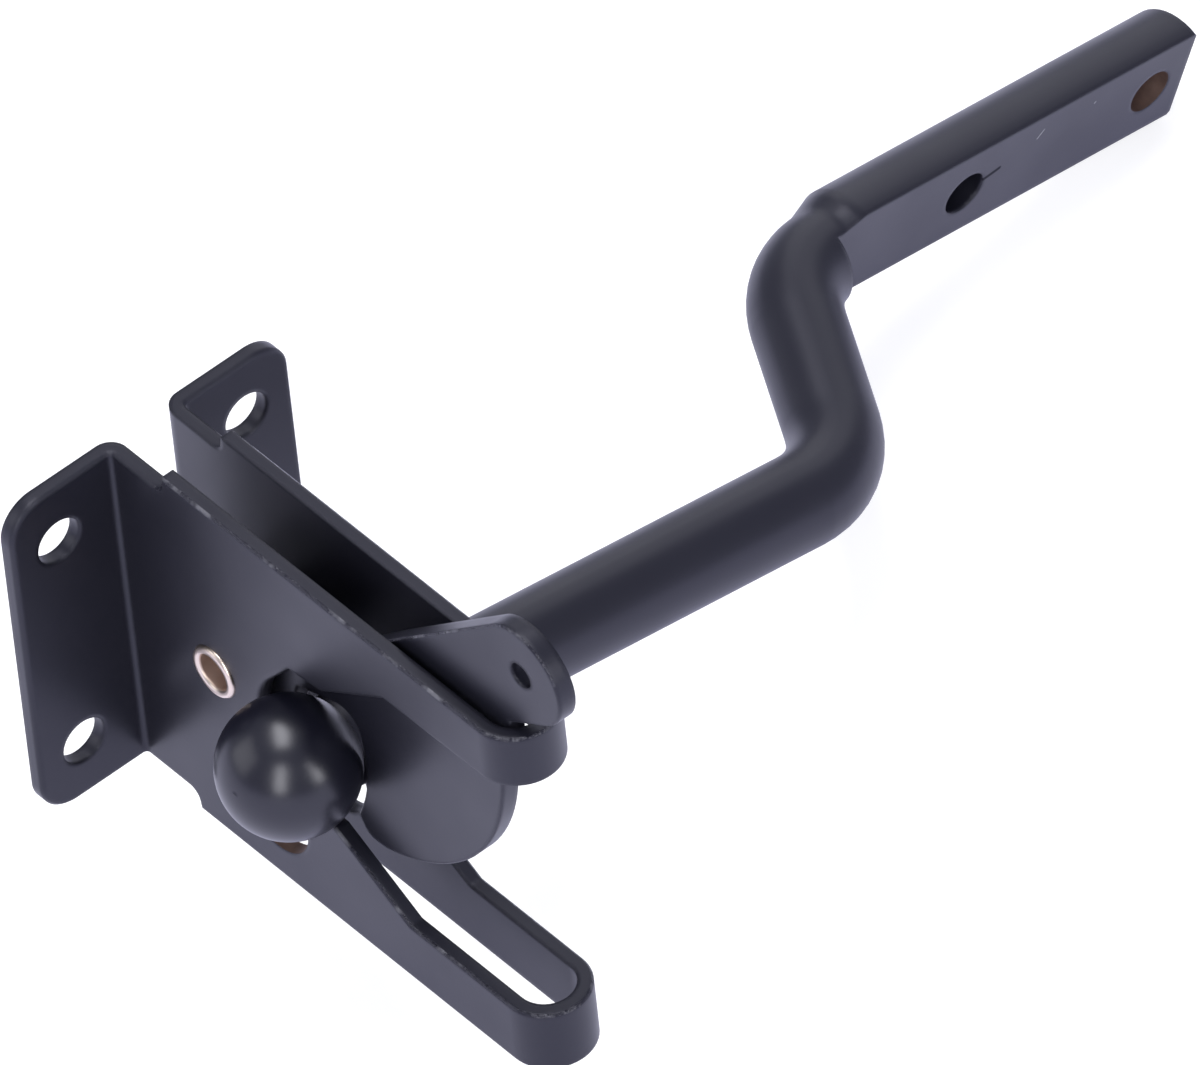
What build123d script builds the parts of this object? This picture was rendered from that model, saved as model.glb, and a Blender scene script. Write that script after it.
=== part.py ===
"""Gate latch with its strike bar: folded bracket, swinging pawl, tubular rivet, bent bar and ball end.

Millimetres. X runs out from the post, Y across it, Z up. The origin is the middle of the
four screw holes, on the flanges' back face (the face against the post).
"""

import os
from math import atan2, cos, degrees, hypot, radians, sin

from build123d import *

os.makedirs("parts", exist_ok=True)


def polar(centre, radius, angle):
    """Point at an angle in degrees round a centre, in a sketch's own two axes."""
    return (centre[0] + radius * cos(radians(angle)), centre[1] + radius * sin(radians(angle)))


# --- bracket: one sheet folded to a U, its two ends turned out as flanges ---
sheet = 2.0
bracket_w = 11.5  # over the outsides of the two side plates
flange_span = 43.6
flange_h = 52.2
flange_corner_r = 5.0
fold_r = 0.6  # inside radius of the flange folds
plate_h = 57.6  # the side plates stand a little taller than the flanges
plate_step_x = 11.2  # where the plates step out to their full height
nose_x = 70.0  # centre of the U-bend that makes the two noses
screw_y, screw_z, screw_d = 29.5, 34.8, 6.5
edge_cut = 0.35  # stamped edges, softened by the paint

# --- throat between the two noses ---
pocket = (36.3, -0.3)
pocket_r = 10.15
pocket_side = (28.7, 6.4)  # where the pocket's round meets its straight upper side
pocket_lip = (33.1, 11.4)
crest = (38.9, 12.0)
kink_x, kink_z = 51.6, 19.3
nose_gap_top, nose_gap_low = 20.6, -19.3
lock_hole, lock_hole_d = (26.5, -17.4), 13.0

# --- rivet ---
pivot = (18.0, 0.0)
rivet_r, rivet_bore_r = 3.0, 2.5
rivet_head_r, rivet_head_h = 3.75, 0.6
rivet_seat_gap = 0.05
rim_step = 60  # the rolled rim is turned in straight steps of this many degrees
pivot_gap = 0.06  # running clearance of the pawl on the rivet

# --- pawl ---
pawl_t = 2.5
pawl_y = -2.73  # near face of the pawl's plate
hub_r, hub_gap = 5.0, 0.3
boss_r = 10.5
pawl_edge_cut = 0.25
catch_r = 24.2  # catching edge, an arc round the pivot
catch_top, catch_low = 19.0, -26.5  # where that arc ends, in degrees
lobe_corner_step = (1.54, -2.8)  # from the catching edge's lower end
lobe_toe_step = (4.94, -2.6)
lobe_front, lobe_top = (62.2, -1.35), (69.7, 17.6)
neck_x, neck_z = 72.0, 21.6
heel_gap = 0.5  # of the lever's underside over the upper nose
lever_end, lever_r, lever_hole_d = (75.7, 40.1), 7.1, 3.6
heel_angle = -60  # where the lever's underside leaves its round end
lever_root, lever_sag = (50.9, 27.8), (44.0, 21.4)

# --- strike bar and ball, lying in the throat as in the photo ---
bar_r = 6.0
ball_c = (35.85, -9.38, -0.6)
bar_out = (-0.0635, 0.9701, -0.2342)  # direction of the first leg, out of the ball
bend_up = (0.194, 0.242, 0.951)  # square to the plane that both bends lie in
ball_r = 9.03
ball_bore_depth = 3.0  # past the ball's middle
leg_a = 94.8  # from the ball's middle to the first bend's corner
leg_mid = (15.89, 28.8)  # along the first leg, and back towards the post
leg_b, leg_b_lean = 69.2, 1.43  # second bend's corner to the tip, and its turn in degrees from the first leg
bend_r = 14.0
end_r, end_cut = 7.4, 0.4  # the far end is upset to a larger radius
swell_from, swell_to, swell_r = 5.8, 10.5, 5.7
flat_front = 1.9  # the flat, in front of the bar's axis
flat_from = 5.8  # hidden by the bend in the photo
bar_hole_d, bar_hole_1, bar_hole_2 = 6.3, 30.2, 63.2
bar_seat_gap = 0.05

half_w = bracket_w / 2
inner_w = half_w - sheet


def on_outside(point):
    """True on the outer side of the folded sheet, from clear of the flange folds to the tip of the noses."""
    if point.X <= nose_x:
        return point.X > sheet + fold_r + 0.05 and abs(abs(point.Y) - half_w) < 0.01
    return abs(hypot(point.X - nose_x, point.Y) - half_w) < 0.01


# ---------------------------------------------------------------- bracket
with BuildPart() as bracket:
    with BuildSketch(Plane.XY.offset(-plate_h / 2)):
        Rectangle(nose_x, bracket_w, align=(Align.MIN, Align.CENTER))
        with Locations((nose_x, 0)):
            Circle(half_w)
        Rectangle(nose_x, 2 * inner_w, align=(Align.MIN, Align.CENTER), mode=Mode.SUBTRACT)
        with Locations((nose_x, 0)):
            Circle(inner_w, mode=Mode.SUBTRACT)
        Rectangle(sheet, flange_span, align=(Align.MIN, Align.CENTER))
        Rectangle(sheet, 2 * inner_w, align=(Align.MIN, Align.CENTER), mode=Mode.SUBTRACT)
    extrude(amount=plate_h)
    # folds: small radius in front, that plus the sheet behind
    upright = bracket.edges().filter_by(Axis.Z)
    fillet([e for e in upright if abs(e.center().X - sheet) < 0.01 and abs(abs(e.center().Y) - half_w) < 0.01], fold_r)
    upright = bracket.edges().filter_by(Axis.Z)
    fillet([e for e in upright if abs(e.center().X) < 0.01 and abs(abs(e.center().Y) - inner_w) < 0.01], fold_r + sheet - 0.02)
    # flanges and the root of the plates are shorter than the plates
    for side in (1, -1):
        with BuildSketch(Plane.XZ) as root:
            with BuildLine():
                Polyline(
                    (-5, side * flange_h / 2),
                    (plate_step_x, side * flange_h / 2),
                    (plate_step_x + 1.2, side * (plate_h / 2 + 5)),
                    (-5, side * (plate_h / 2 + 5)),
                    close=True,
                )
            make_face()
            fillet(root.vertices().sort_by_distance((plate_step_x, side * flange_h / 2))[0], 1.5)
        extrude(amount=flange_span, both=True, mode=Mode.SUBTRACT)
    # throat: open in front, ramps to a crest, then a round pocket for the bar
    with BuildSketch(Plane.XZ):
        with BuildLine():
            Polyline(
                pocket_side,
                pocket_lip,
                crest,
                (kink_x, kink_z + 0.9),
                (nose_x + 8, nose_gap_top),
                (nose_x + 12, nose_gap_top),
                (nose_x + 12, nose_gap_low),
                (kink_x, -kink_z),
                (crest[0], -crest[1]),
                (pocket_lip[0], -crest[1]),
                (pocket_side[0], 2 * pocket[1] - pocket_side[1]),
                close=True,
            )
        make_face()
        with Locations(pocket):
            Circle(pocket_r)
    extrude(amount=flange_span, both=True, mode=Mode.SUBTRACT)
    # rivet and lock holes through both plates
    with BuildSketch(Plane.XZ):
        with Locations(pivot):
            Circle(rivet_r + rivet_seat_gap)
        with Locations(lock_hole):
            Circle(lock_hole_d / 2)
    extrude(amount=flange_span, both=True, mode=Mode.SUBTRACT)
    # flange corners and screw holes
    along_x = bracket.edges().filter_by(Axis.X)
    fillet([e for e in along_x if abs(abs(e.center().Y) - flange_span / 2) < 0.01], flange_corner_r)
    with Locations(Plane.YZ):
        with GridLocations(screw_y, screw_z, 2, 2):
            Hole(screw_d / 2, depth=sheet * 2)
    # stamped edges on the outer side of the plates and the noses; the round holes stay sharp
    outside = [e for e in bracket.edges() if all(on_outside(e @ t) for t in (0, 0.5, 1))]
    chamfer([e for e in outside if not e.is_closed], edge_cut)
bracket.part.label = "bracket"
export_step(bracket.part, "parts/bracket.step")

# ---------------------------------------------------------------- rivet
rim_half = (rivet_head_r - rivet_bore_r) / 2
rim = [
    (rivet_bore_r + rim_half * (1 - cos(radians(a))), half_w + rivet_head_h * sin(radians(a)))
    for a in range(0, 181, rim_step)
]
with BuildPart() as rivet:
    with BuildSketch(Plane(origin=(pivot[0], 0, pivot[1]))):
        with BuildLine():
            Polyline(*rim, (rivet_r, half_w), (rivet_r, -half_w), *[(r, -y) for r, y in reversed(rim)], close=True)
        make_face()
    revolve(axis=Axis((pivot[0], 0, pivot[1]), (0, 1, 0)))
rivet.part.label = "rivet"
export_step(rivet.part, "parts/rivet.step")

# ---------------------------------------------------------------- pawl
boss_top = polar(pivot, boss_r, 112)
catch_start = polar(pivot, catch_r, catch_top)
catch_end = polar(pivot, catch_r, catch_low)
lobe_corner = (catch_end[0] + lobe_corner_step[0], catch_end[1] + lobe_corner_step[1])
lobe_toe = (catch_end[0] + lobe_toe_step[0], catch_end[1] + lobe_toe_step[1])
notch_root = polar(pivot, boss_r, catch_top - 20)
lever_under = polar(lever_end, lever_r, heel_angle)
heel = (neck_x, plate_h / 2 + heel_gap)
reach = hypot(lever_end[0] - lever_root[0], lever_end[1] - lever_root[1])
lean = degrees(atan2(lever_end[1] - lever_root[1], lever_end[0] - lever_root[0]))
touch = lean + 90 + degrees(atan2(lever_r, (reach**2 - lever_r**2) ** 0.5))
lever_top = polar(lever_end, lever_r, touch)
with BuildPart() as pawl:
    with BuildSketch(Plane.XZ.offset(-pawl_y)) as outline:
        with BuildLine():
            ThreePointArc(boss_top, polar(pivot, boss_r, 230), notch_root)
            Line(notch_root, polar(pivot, boss_r + 2.5, catch_top))
            Line(polar(pivot, boss_r + 2.5, catch_top), catch_start)
            ThreePointArc(catch_start, polar(pivot, catch_r, (catch_top + catch_low) / 2), catch_end)
            Line(catch_end, lobe_corner)
            Line(lobe_corner, lobe_toe)
            ThreePointArc(lobe_toe, lobe_front, lobe_top)
            Polyline(lobe_top, (neck_x, neck_z), heel, lever_under)
            ThreePointArc(lever_under, polar(lever_end, lever_r, (touch + heel_angle) / 2), lever_top)
            Polyline(lever_top, lever_root, lever_sag, boss_top)
        make_face()
        fillet(outline.vertices().sort_by_distance(catch_start)[0], 3.0)
        fillet(outline.vertices().sort_by_distance(lobe_corner)[0], 2.4)
        fillet(outline.vertices().sort_by_distance(heel)[0], 1.0)
        fillet(outline.vertices().sort_by_distance(lever_sag)[0], 8.0)
    extrude(amount=-pawl_t)
    chamfer(pawl.faces().sort_by(Axis.Y)[0].edges(), pawl_edge_cut)  # the stamped side, which faces the camera
    with BuildSketch(Plane.XZ.offset(inner_w - hub_gap)):
        with Locations(pivot):
            Circle(hub_r)
    extrude(amount=-2 * (inner_w - hub_gap))
    with BuildSketch(Plane.XZ.offset(half_w)):
        with Locations(pivot):
            Circle(rivet_r + pivot_gap)
        with Locations(lever_end):
            Circle(lever_hole_d / 2)
    extrude(amount=-2 * half_w, mode=Mode.SUBTRACT)
pawl.part.label = "pawl"
export_step(pawl.part, "parts/pawl.step")

# ---------------------------------------------------------------- strike bar
# both bends lie in one plane: its x runs along the first leg, its y back towards the post
bar_plane = Plane(origin=ball_c, x_dir=bar_out, z_dir=bend_up)
bend_2 = (leg_a + leg_mid[0], leg_mid[1])
lean_x, lean_y = cos(radians(leg_b_lean)), sin(radians(leg_b_lean))
bar_stop = leg_b - end_cut - 0.5  # the bar's own round stops inside the upset end
flat_plane = Plane(
    origin=bar_plane.from_local_coords((*bend_2, 0)),
    x_dir=bar_plane.x_dir * lean_x + bar_plane.y_dir * lean_y,
    z_dir=bar_plane.x_dir * lean_y - bar_plane.y_dir * lean_x,
)
with BuildPart() as strike_bar:
    with BuildLine(bar_plane) as spine:
        FilletPolyline(
            (-ball_bore_depth, 0),
            (leg_a, 0),
            bend_2,
            (bend_2[0] + bar_stop * lean_x, bend_2[1] + bar_stop * lean_y),
            radius=bend_r,
        )
    with BuildSketch(Plane(origin=spine.line @ 0, z_dir=bar_plane.x_dir)):
        Circle(bar_r)
    sweep()
    # the far end swells out of the round bar
    with BuildSketch(flat_plane):
        with BuildLine():
            Polyline(
                (swell_from, 0),
                (swell_from, swell_r),
                (swell_to, end_r),
                (leg_b - end_cut, end_r),
                (leg_b, end_r - end_cut),
                (leg_b, 0),
                close=True,
            )
        make_face()
    revolve(axis=Axis(flat_plane.origin, flat_plane.x_dir))
    # one flat on its front, and two holes through it
    with BuildSketch(flat_plane.offset(flat_front)):
        with Locations((flat_from, 0)):
            Rectangle(leg_b, 4 * end_r, align=(Align.MIN, Align.CENTER))
    extrude(amount=2 * end_r, mode=Mode.SUBTRACT)
    with BuildSketch(flat_plane):
        with Locations((bar_hole_1, 0), (bar_hole_2, 0)):
            Circle(bar_hole_d / 2)
    extrude(amount=2 * end_r, both=True, mode=Mode.SUBTRACT)
strike_bar.part.label = "strike_bar"
export_step(strike_bar.part, "parts/strike_bar.step")

# ---------------------------------------------------------------- ball end
socket_r = bar_r + bar_seat_gap
ball_mouth = ((ball_r**2 - socket_r**2) ** 0.5, socket_r)
with BuildPart() as ball:
    with BuildSketch(bar_plane):
        with BuildLine():
            ThreePointArc((-ball_r, 0), (0, ball_r), ball_mouth)
            Polyline(ball_mouth, (-ball_bore_depth, socket_r), (-ball_bore_depth, 0), (-ball_r, 0))
        make_face()
    revolve(axis=Axis(bar_plane.origin, bar_plane.x_dir))
ball.part.label = "ball"
export_step(ball.part, "parts/ball.step")
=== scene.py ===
"""Looks of the gate latch: satin black coat, smooth black ball and nickel rivet, white floor."""

from math import pi

import bpy
from mathutils import Matrix, Vector


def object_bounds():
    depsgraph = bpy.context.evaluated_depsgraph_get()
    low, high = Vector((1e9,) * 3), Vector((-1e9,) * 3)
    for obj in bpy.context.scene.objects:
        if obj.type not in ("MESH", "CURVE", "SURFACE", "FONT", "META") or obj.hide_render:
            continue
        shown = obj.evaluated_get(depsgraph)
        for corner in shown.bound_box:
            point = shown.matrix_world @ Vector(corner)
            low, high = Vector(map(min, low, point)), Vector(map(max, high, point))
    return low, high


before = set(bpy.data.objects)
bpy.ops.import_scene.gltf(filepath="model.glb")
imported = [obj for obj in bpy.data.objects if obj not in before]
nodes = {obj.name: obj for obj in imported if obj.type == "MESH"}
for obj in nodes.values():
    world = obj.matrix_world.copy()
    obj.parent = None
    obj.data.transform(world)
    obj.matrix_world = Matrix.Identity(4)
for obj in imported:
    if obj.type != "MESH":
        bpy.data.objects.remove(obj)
cad_low, cad_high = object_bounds()
MM = 0.001

# ------------------------------------------------------------------ places in the row frame, in mm

Y_AXIS = Vector((0, 1, 0))
FOLD_END_X = 10.0  # the plates start in front of the flange folds
NOSE_X = 70.0  # centre of the U-bend
PLATE_FACE_Y = 5.75
LOCK_HOLE = Vector((26.5, 0.0, -17.4))
LOCK_HOLE_R = 6.8

RIVET_AXIS = Vector((18.0, 0.0, 0.0))
RIVET_BORE_R = 2.7
RIM_MID_R, RIM_HALF_W, RIM_H = 3.125, 0.625, 0.52

BEND_2 = Vector((0.633, 97.579, -20.634))  # corner of the bar's second bend
LEG_B = Vector((-0.08786, 0.96950, -0.22879))  # from there to the far end
BEND_UP = Vector((0.19394, 0.24193, 0.95071))
FLAT_FRONT = 1.9  # the flat, in front of the bar's axis
SWELL_FROM, SWELL_TO = 4.0, 10.6  # the short cone, along leg B
BAR_HOLE = Vector((-7.264, 158.757, -34.591))  # the outer one, where bare metal shows
BAR_HOLE_AXIS = Vector((0.977071, 0.039156, -0.209282))
BAR_HOLE_R = 3.4

# strokes on the flat: start, end (along leg B, up across it) and width
SCRATCHES = (((42.0, 3.2), (42.9, 4.4), 0.2), ((51.9, 4.1), (52.1, 4.3), 0.2))
STREAK = ((33.3, 0.8), (35.9, 1.4), 0.9)

# ------------------------------------------------------------------ colours and finish

COAT_COLOR = (0.0092, 0.0092, 0.0150)
COAT_TINT = (0.86, 0.86, 1.0)
COAT_EDGE_R = 0.9 * MM
COAT_GRAIN, COAT_PATCHES = 1600.0, 70.0  # scales of the bumps and of the uneven gloss
COAT_ROUGH, COAT_ROUGH_NOISE = (0.33, 0.40), (0.3, 0.7)
SPECULAR_PLATE, SPECULAR_BAR, SPECULAR_BALL, SPECULAR_FLOOR = 0.45, 0.52, 0.6, 0.1
SCRATCH_COLOR = (0.38, 0.38, 0.40)

EDGE_BEADS, EDGE_HIGHLIGHT_AND_WEAR = 600.0, 260.0  # scales of the beads and of the lighter spots, which are painted highlight and partly rubbed wear
EDGE_ROUGH, EDGE_HIGHLIGHT_AND_WEAR_NOISE = 0.24, (0.52, 0.64)
# lighter grey of those spots: painted highlight, partly rubbed wear
HIGHLIGHT_AND_WEAR_COLOR = (0.11, 0.11, 0.125)
PAINTED_HIGHLIGHT_UP = 0.3  # only edges that face up get the edge coat with its painted highlight
STRIP_SLANT = (0.5, 0.9)  # how far the normal of a cut edge leans out of the sheet
CONE_SLANT = (-0.45, -0.2)  # how far that of the bar's short cone leans along leg B

BALL_COLOR, BALL_TINT, BALL_ROUGH = (0.0062, 0.0062, 0.0125), (0.94, 0.94, 1.0), 0.30
NICKEL_COLOR, NICKEL_ROUGH = (0.74, 0.63, 0.54), 0.33
TARNISH_COLOR, TARNISH_ROUGH = (0.66, 0.52, 0.44), 0.5
BARE_COLOR, BARE_ROUGH, BARE_METALLIC = (0.15, 0.1, 0.085), 0.5, 0.6
BARE_DARK, BARE_PALE, BARE_FILM = (0.10, 0.065, 0.055), (0.26, 0.17, 0.14), 500.0

FLOOR_COLOR, FLOOR_ROUGH = (0.58, 0.58, 0.59), 0.9
FLOOR_GLOW = (0.62, 0.62, 0.62)
FLOOR_GLOW_MIRRORED = (0.42, 0.42, 0.66)  # the cool white that the coat mirrors
FLOOR_SIZE, FLOOR_GAP = 6, 1 * MM
WORLD_COLOR, WORLD_STRENGTH = (0.80, 0.82, 1.0), 0.45

# ------------------------------------------------------------------ shader helpers


def principled(name, color, roughness, metallic=0.0, specular=0.5, tint=(1, 1, 1)):
    """A new material with a plain Principled shader, and that shader's node."""
    mat = bpy.data.materials.new(name)
    mat.use_nodes = True
    shader = mat.node_tree.nodes["Principled BSDF"]
    shader.inputs["Base Color"].default_value = (*color, 1)
    shader.inputs["Roughness"].default_value = roughness
    shader.inputs["Metallic"].default_value = metallic
    shader.inputs["Specular IOR Level"].default_value = specular
    shader.inputs["Specular Tint"].default_value = (*tint, 1)
    return mat, shader


def noise(mat, scale, detail=2.0):
    """Noise in the piece's own coordinates, so that it stays on a moving piece."""
    tree = mat.node_tree
    coords = tree.nodes.new("ShaderNodeTexCoord")
    tex = tree.nodes.new("ShaderNodeTexNoise")
    tex.inputs["Scale"].default_value = scale
    tex.inputs["Detail"].default_value = detail
    tree.links.new(coords.outputs["Object"], tex.inputs["Vector"])
    return tex.outputs["Fac"]


def bump(mat, shader, height, strength, distance):
    """Bumps on a surface whose sharp edges are softened as the coat softens them."""
    tree = mat.node_tree
    soft = tree.nodes.new("ShaderNodeBevel")
    soft.samples = 6
    soft.inputs["Radius"].default_value = COAT_EDGE_R
    node = tree.nodes.new("ShaderNodeBump")
    node.inputs["Strength"].default_value = strength
    node.inputs["Distance"].default_value = distance
    tree.links.new(soft.outputs["Normal"], node.inputs["Normal"])
    tree.links.new(height, node.inputs["Height"])
    tree.links.new(node.outputs["Normal"], shader.inputs["Normal"])


def spread(mat, source, low, high, to_low, to_high):
    """Maps source from low..high to to_low..to_high, held at the ends."""
    node = mat.node_tree.nodes.new("ShaderNodeMapRange")
    node.inputs["From Min"].default_value = low
    node.inputs["From Max"].default_value = high
    node.inputs["To Min"].default_value = to_low
    node.inputs["To Max"].default_value = to_high
    mat.node_tree.links.new(source, node.inputs["Value"])
    return node.outputs["Result"]


def larger(mat, one, other):
    """The larger of two values."""
    node = mat.node_tree.nodes.new("ShaderNodeMath")
    node.operation = "MAXIMUM"
    mat.node_tree.links.new(one, node.inputs[0])
    mat.node_tree.links.new(other, node.inputs[1])
    return node.outputs["Value"]


def mix_color(mat, factor, low, high):
    """Colour low where factor is 0, high where it is 1."""
    node = mat.node_tree.nodes.new("ShaderNodeMix")
    node.data_type = "RGBA"
    node.inputs["A"].default_value = (*low, 1)
    node.inputs["B"].default_value = (*high, 1)
    mat.node_tree.links.new(factor, node.inputs["Factor"])
    return node.outputs["Result"]


def on_flat(along, across):
    """Point on the bar's flat, in mm from the second bend's corner along leg B and up across it."""
    return BEND_2 + BAR_HOLE_AXIS * FLAT_FRONT + LEG_B * along + BEND_UP * across


def stroke(mat, start, end, width):
    """1 on a thin stroke between two places on the bar's flat, 0 elsewhere; all in mm."""
    tree = mat.node_tree
    start, end = on_flat(*start), on_flat(*end)
    way = (end - start).normalized()
    length = (end - start).length * MM

    def vector_math(operation):
        node = tree.nodes.new("ShaderNodeVectorMath")
        node.operation = operation
        return node

    coords = tree.nodes.new("ShaderNodeTexCoord")
    rel = vector_math("SUBTRACT")
    along = vector_math("DOT_PRODUCT")
    foot = vector_math("SCALE")
    gap = vector_math("DISTANCE")
    rel.inputs[1].default_value = start * MM
    along.inputs[1].default_value = way
    foot.inputs[0].default_value = way
    tree.links.new(coords.outputs["Object"], rel.inputs[0])
    tree.links.new(rel.outputs["Vector"], along.inputs[0])
    on_stroke = spread(mat, along.outputs["Value"], 0.0, length, 0.0, length)
    tree.links.new(on_stroke, foot.inputs["Scale"])
    tree.links.new(rel.outputs["Vector"], gap.inputs[0])
    tree.links.new(foot.outputs["Vector"], gap.inputs[1])
    return spread(mat, gap.outputs["Value"], 0.25 * width * MM, 0.5 * width * MM, 1.0, 0.0)


# ------------------------------------------------------------------ materials


def coat_material(name, specular):
    """Satin coat with a fine grain and slightly uneven gloss; also its shader and roughness."""
    mat, shader = principled(name, COAT_COLOR, COAT_ROUGH[0], specular=specular, tint=COAT_TINT)
    bump(mat, shader, noise(mat, COAT_GRAIN), strength=0.07, distance=0.06 * MM)
    rough = spread(mat, noise(mat, COAT_PATCHES), *COAT_ROUGH_NOISE, *COAT_ROUGH)
    mat.node_tree.links.new(rough, shader.inputs["Roughness"])
    return mat, shader, rough


def edge_material():
    """The same coat, beaded along the stamped edges, with lighter spots that are painted highlight
    and partly rubbed wear.
    """
    mat, shader = principled("black_coat_edge", COAT_COLOR, EDGE_ROUGH, tint=COAT_TINT)
    bump(mat, shader, noise(mat, EDGE_BEADS), strength=0.8, distance=0.6 * MM)
    # lighter spots in the base colour: painted highlight, partly rubbed wear
    highlight_and_wear = spread(mat, noise(mat, EDGE_HIGHLIGHT_AND_WEAR, detail=3.0), *EDGE_HIGHLIGHT_AND_WEAR_NOISE, 0.0, 1.0)
    color = mix_color(mat, highlight_and_wear, COAT_COLOR, HIGHLIGHT_AND_WEAR_COLOR)
    mat.node_tree.links.new(color, shader.inputs["Base Color"])
    return mat


def bar_material():
    """The coat on the bar, with a small scratch, a speck and a dull streak on the flat."""
    mat, shader, rough = coat_material("black_coat_bar", SPECULAR_BAR)
    scratch, speck = (stroke(mat, *mark) for mark in SCRATCHES)
    color = mix_color(mat, larger(mat, scratch, speck), COAT_COLOR, SCRATCH_COLOR)
    mat.node_tree.links.new(color, shader.inputs["Base Color"])
    dull = larger(mat, rough, stroke(mat, *STREAK))
    mat.node_tree.links.new(dull, shader.inputs["Roughness"])
    return mat


def bare_material():
    """Bare steel with a brown film, inside the drilled and punched holes."""
    mat, shader = principled("bare_steel", BARE_COLOR, BARE_ROUGH, metallic=BARE_METALLIC)
    color = mix_color(mat, noise(mat, BARE_FILM, detail=4.0), BARE_DARK, BARE_PALE)
    mat.node_tree.links.new(color, shader.inputs["Base Color"])
    return mat


def floor_material():
    """Pale floor that takes shadows; a glow for camera and glossy rays alone brings it to white."""
    mat, shader = principled("floor", FLOOR_COLOR, FLOOR_ROUGH, specular=SPECULAR_FLOOR)
    tree = mat.node_tree
    path = tree.nodes.new("ShaderNodeLightPath")
    mirrored = path.outputs["Is Glossy Ray"]
    seen = larger(mat, path.outputs["Is Camera Ray"], mirrored)
    glow = mix_color(mat, mirrored, FLOOR_GLOW, FLOOR_GLOW_MIRRORED)
    tree.links.new(glow, shader.inputs["Emission Color"])
    tree.links.new(seen, shader.inputs["Emission Strength"])
    return mat


coat = coat_material("black_coat", SPECULAR_PLATE)[0]
bare = bare_material()
tarnish = principled("tarnished_nickel", TARNISH_COLOR, TARNISH_ROUGH, metallic=1.0)[0]
edge = edge_material()
looks = {
    "bracket": coat,
    "pawl": coat,
    "strike_bar": bar_material(),
    "ball": principled(
        "ball_plastic", BALL_COLOR, BALL_ROUGH, specular=SPECULAR_BALL, tint=BALL_TINT
    )[0],
    "rivet": principled("nickel", NICKEL_COLOR, NICKEL_ROUGH, metallic=1.0)[0],
}
for name, mat in looks.items():
    mesh = nodes[name].data
    mesh.materials.clear()
    mesh.materials.append(mat)

# ------------------------------------------------------------------ holes and edges


def paint(name, mat, chosen):
    """Gives mat to the faces of a node whose middle (in mm) and normal are chosen."""
    mesh = nodes[name].data
    mesh.materials.append(mat)
    slot = len(mesh.materials) - 1
    for face in mesh.polygons:
        if chosen(face.center / MM, face.normal):
            face.material_index = slot


def in_hole(point, normal, centre, axis, radius):
    """True on the wall of a round hole: near its axis and facing it."""
    out = point - centre
    out -= axis * out.dot(axis)
    return out.length < radius and normal.dot(out) < -0.5 * out.length


def bracket_strip(p, n):
    """True on the cut edges of the plates and the noses."""
    slant = abs(n.y) if p.x < NOSE_X else abs(n.z)
    return p.x > FOLD_END_X and STRIP_SLANT[0] < slant < STRIP_SLANT[1]


def pawl_strip(p, n):
    """True on the cut edge of the pawl's near side."""
    return STRIP_SLANT[0] < -n.y < STRIP_SLANT[1]


def bar_strip(p, n):
    """True on the short cone between the bar's bend and its thicker end."""
    reach = (p - BEND_2).dot(LEG_B)
    return SWELL_FROM < reach < SWELL_TO and CONE_SLANT[0] < n.dot(LEG_B) < CONE_SLANT[1]


def round_strips(name, chosen):
    """Shades narrow strips as if rounded: each corner takes the normal of the broad faces there."""
    mesh = nodes[name].data

    def place(corner):
        vertex = mesh.vertices[mesh.loops[corner].vertex_index]
        return tuple(round(c / MM, 3) for c in vertex.co)

    narrow = [chosen(face.center / MM, face.normal) for face in mesh.polygons]
    broad = {}
    for face, is_narrow in zip(mesh.polygons, narrow):
        if not is_narrow:
            for corner in face.loop_indices:
                broad.setdefault(place(corner), []).append((face.normal.copy(), face.area))
    normals = [corner.vector.copy() for corner in mesh.corner_normals]
    for face, is_narrow in zip(mesh.polygons, narrow):
        if is_narrow:
            for corner in face.loop_indices:
                touched = broad.get(place(corner), ())
                near = [n * area for n, area in touched if n.dot(face.normal) > 0.5]
                if near:
                    normals[corner] = sum(near, Vector()).normalized()
    mesh.normals_split_custom_set(normals)


def round_rims():
    """Shades the rivet's stepped rims as the rolled, round rims that they are."""
    mesh = nodes["rivet"].data
    normals = [corner.vector.copy() for corner in mesh.corner_normals]
    for face in mesh.polygons:
        if abs(face.center.y / MM) > PLATE_FACE_Y:
            for corner in face.loop_indices:
                p = mesh.vertices[mesh.loops[corner].vertex_index].co / MM - RIVET_AXIS
                out = Vector((p.x, 0, p.z))
                across = (out.length - RIM_MID_R) / RIM_HALF_W**2
                along = (p.y - PLATE_FACE_Y * (1 if p.y > 0 else -1)) / RIM_H**2
                normals[corner] = (out.normalized() * across + Y_AXIS * along).normalized()
    mesh.normals_split_custom_set(normals)


paint("strike_bar", bare, lambda p, n: in_hole(p, n, BAR_HOLE, BAR_HOLE_AXIS, BAR_HOLE_R))
paint("bracket", bare, lambda p, n: p.y < 0 and in_hole(p, n, LOCK_HOLE, Y_AXIS, LOCK_HOLE_R))
paint("rivet", tarnish, lambda p, n: in_hole(p, n, RIVET_AXIS, Y_AXIS, RIVET_BORE_R))
for name, strip in (("bracket", bracket_strip), ("pawl", pawl_strip)):
    # up-facing cut edges take the edge coat, whose lighter spots are painted highlight
    paint(name, edge, lambda p, n: strip(p, n) and n.z > PAINTED_HIGHLIGHT_UP)
    round_strips(name, strip)
round_strips("strike_bar", bar_strip)
round_rims()

# ------------------------------------------------------------------ floor and light

bpy.ops.mesh.primitive_plane_add(size=FLOOR_SIZE, location=(0, 0, cad_low.z - FLOOR_GAP))
floor = bpy.context.object
floor.name = "floor"
floor.data.materials.append(floor_material())

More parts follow.
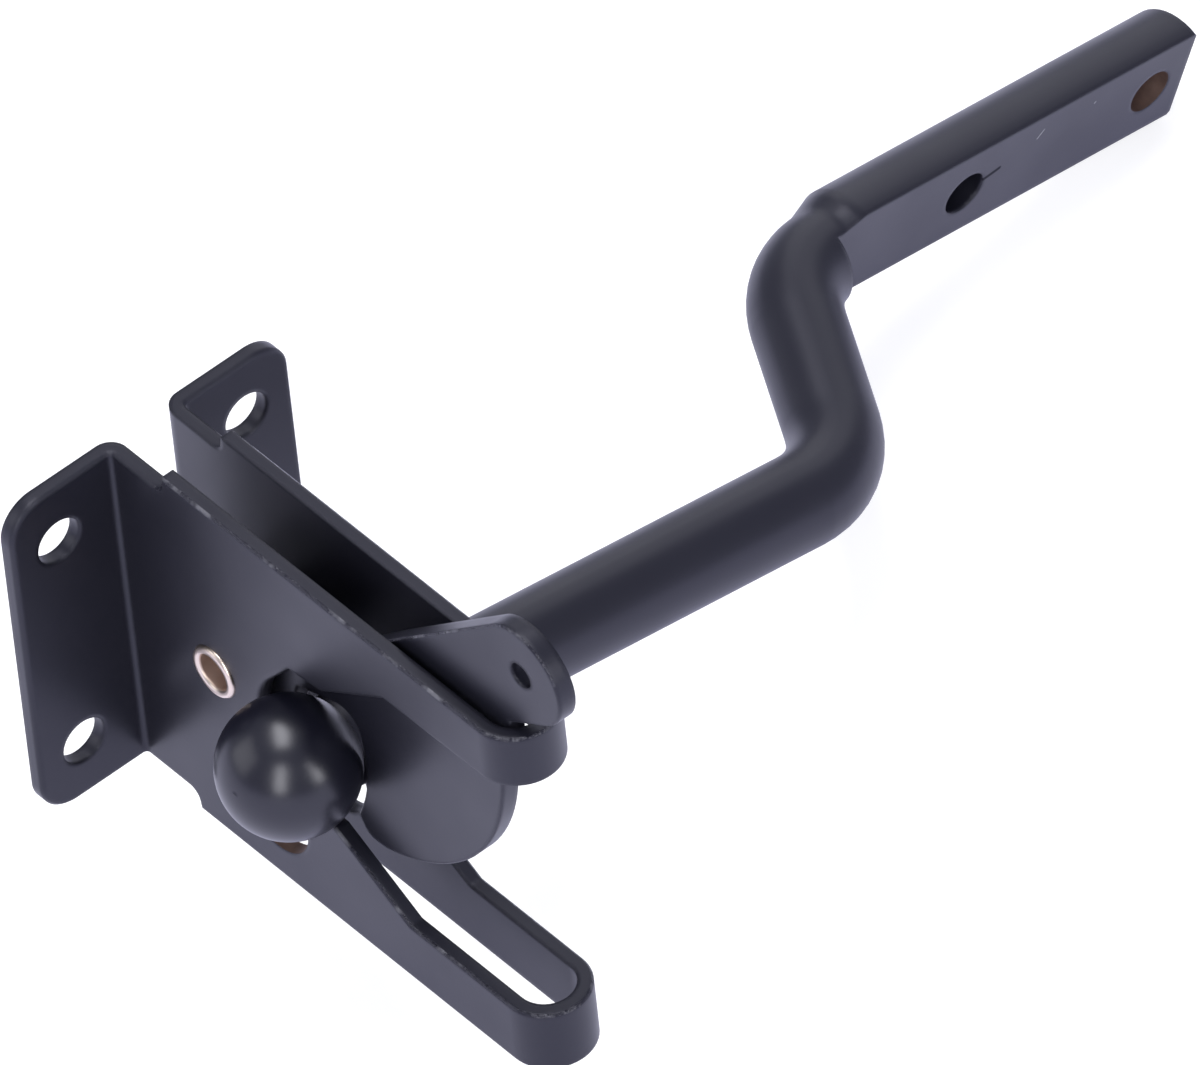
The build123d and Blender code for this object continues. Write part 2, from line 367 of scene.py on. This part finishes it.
world = bpy.data.worlds.new("studio")
world.use_nodes = True
sky = world.node_tree.nodes["Background"]
sky.inputs["Color"].default_value = (*WORLD_COLOR, 1)
sky.inputs["Strength"].default_value = WORLD_STRENGTH
bpy.context.scene.world = world

CENTRE = Vector((32.58, 42.67, -1.01)) * MM  # what the lamps and the camera point at


def softbox(name, direction, along, width, height, radiance):
    """A rectangular softbox 1 m away in a direction, its height running along a second one."""
    data = bpy.data.lights.new(name, "AREA")
    data.shape = "RECTANGLE"
    data.size, data.size_y = width, height
    data.energy = radiance * pi * width * height
    lamp = bpy.data.objects.new(name, data)
    bpy.context.scene.collection.objects.link(lamp)
    away = Vector(direction).normalized()
    side = Vector(along).cross(away).normalized()
    turn = Matrix((side, away.cross(side), away)).transposed().to_4x4()
    lamp.matrix_world = Matrix.Translation(CENTRE + away) @ turn


# where the three soft highlights on the ball come from
softbox("top", (-0.16, -0.03, 0.986), (0.51, -0.37, 0.03), 0.34, 0.72, 8.0)
softbox("left", (0.53, -0.72, 0.44), (0, 0, 1), 0.26, 0.72, 7.2)
softbox("right", (0.91, 0.12, 0.41), (0, 0, 1), 0.24, 0.60, 7.2)
# broad, weak fills behind: one for the top of the bar, one for the edges of the plates
softbox("back", (-0.55, 0.70, 0.46), (0, 0, 1), 0.90, 0.70, 0.8)
softbox("side", (-0.56, -0.72, 0.41), (0, 0, 1), 0.70, 0.60, 1.4)

# ------------------------------------------------------------------ camera

SENSOR_MM, PHOTO_PX = 36.0, 1200
FOCAL_PX = 40000.0
PX_PER_MM = 8.3247
BACK = Vector((0.5605, -0.4092, 0.7200)).normalized()
UP = BACK.cross(Vector((0.6508, 0.7553, -0.0774))).normalized()
RIGHT = UP.cross(BACK)
cam_data = bpy.data.cameras.new("camera")
cam_data.sensor_width = SENSOR_MM
cam_data.lens = FOCAL_PX * SENSOR_MM / PHOTO_PX
cam_data.clip_start, cam_data.clip_end = 1.0, 100.0
camera = bpy.data.objects.new("camera", cam_data)
bpy.context.scene.collection.objects.link(camera)
turn = Matrix((RIGHT, UP, BACK)).transposed().to_4x4()
camera.matrix_world = Matrix.Translation(CENTRE + BACK * (FOCAL_PX / PX_PER_MM * MM)) @ turn
bpy.context.scene.camera = camera
bpy.context.scene.view_settings.view_transform = "Standard"
